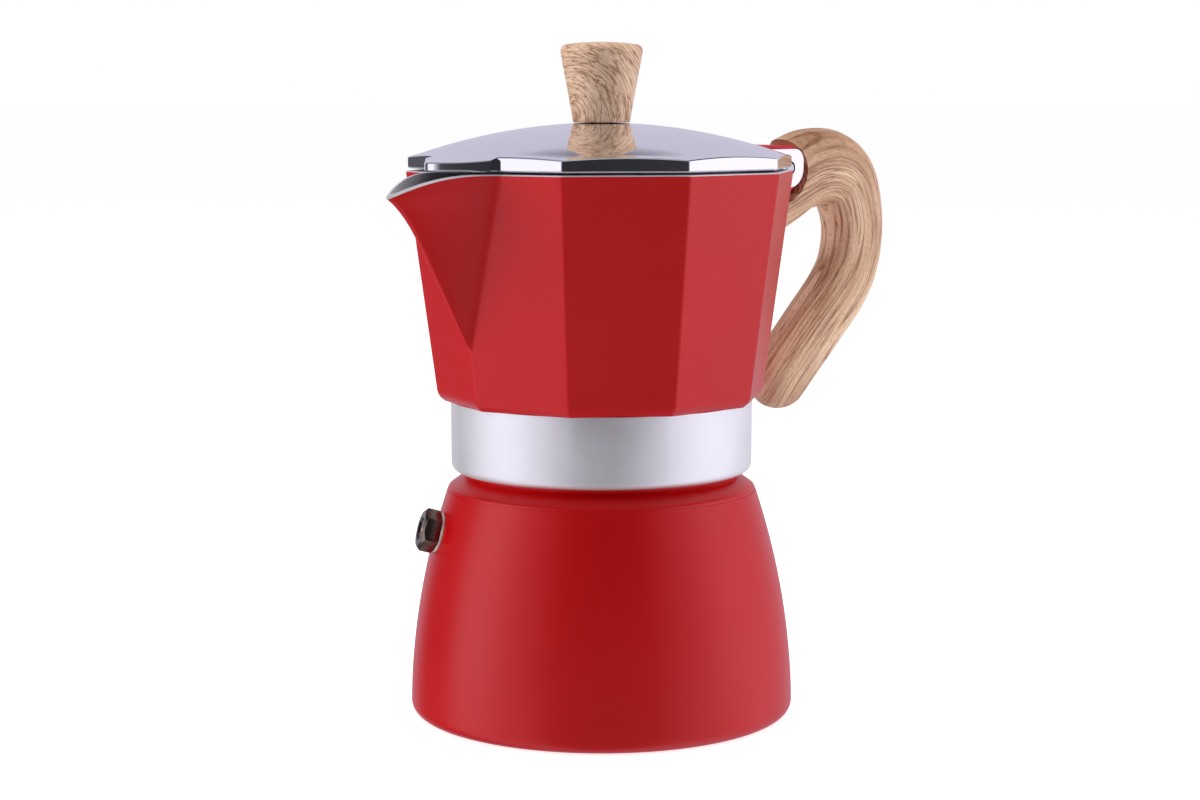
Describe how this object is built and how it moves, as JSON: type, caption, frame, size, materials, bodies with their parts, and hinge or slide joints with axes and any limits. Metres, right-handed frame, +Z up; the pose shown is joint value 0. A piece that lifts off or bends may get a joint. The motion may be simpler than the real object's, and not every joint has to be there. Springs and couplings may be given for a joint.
{
  "type": "moka pot",
  "caption": "Stovetop coffee maker: red boiler, ten-sided red jug screwed on by a bare metal collar, hinged domed lid, wood-look handle and knob.",
  "frame": {"origin": "centre of the boiler's underside, on the pot's axis", "axes": "+Z up along the pot's axis, spout towards -X, handle towards +X"},
  "size_m": [0.1594, 0.09, 0.1564],
  "materials": {
    "red_enamel": "satin red enamel on cast aluminium",
    "bare_aluminium": "satin cast aluminium",
    "polished_aluminium": "polished",
    "steel": "satin stainless steel",
    "dark_steel": "darkened steel",
    "brass": "satin brass",
    "wood_grain": "light brown wood grain, satin",
    "silicone_seal": "matt white silicone"
  },
  "bodies": {
    "boiler_body": {"boiler": "red_enamel", "valve_washer": "silicone_seal", "valve_body": "dark_steel", "valve_spring": "steel", "valve_retainer": "steel", "funnel": "bare_aluminium", "funnel_strainer": "steel"},
    "plunger_body": {"valve_plunger": "brass"},
    "seal_body": {"gasket": "silicone_seal", "filter_plate": "steel"},
    "jug_body": {"upper_chamber": "red_enamel", "riser_column": "bare_aluminium", "hinge_pin": "steel", "handle": "wood_grain", "handle_screw": "steel", "handle_washer": "steel"},
    "lid_body": {"lid": "polished_aluminium", "knob": "wood_grain", "knob_screw": "steel", "knob_washer": "steel", "knob_insert": "brass"}
  },
  "joints": [
    {"name": "valve_travel", "type": "slide", "parent": "boiler_body", "child": "plunger_body", "axis": [-0.8349, 0.482, 0.2657], "range_m": [0, 0.001], "stiffness_N_per_m": 1000, "springref_m": -0.002, "deforming": ["valve_spring"]},
    {"name": "thread_lift", "type": "slide", "parent": "boiler_body", "child": "seal_body", "axis": [0, 0, 1], "range_m": [0, 0.006]},
    {"name": "unscrew", "type": "hinge", "parent": "seal_body", "child": "jug_body", "pos_m": [0, 0, 0.06], "axis": [0, 0, 1], "range_deg": [0, 720]},
    {"name": "lid_hinge", "type": "hinge", "parent": "jug_body", "child": "lid_body", "pos_m": [0.055, 0, 0.1266], "axis": [0, 1, 0], "range_deg": [0, 105]}
  ],
  "couplings": [
    {"joint": "thread_lift", "follows": "unscrew", "m_per_rad": 0.00047746}
  ]
}
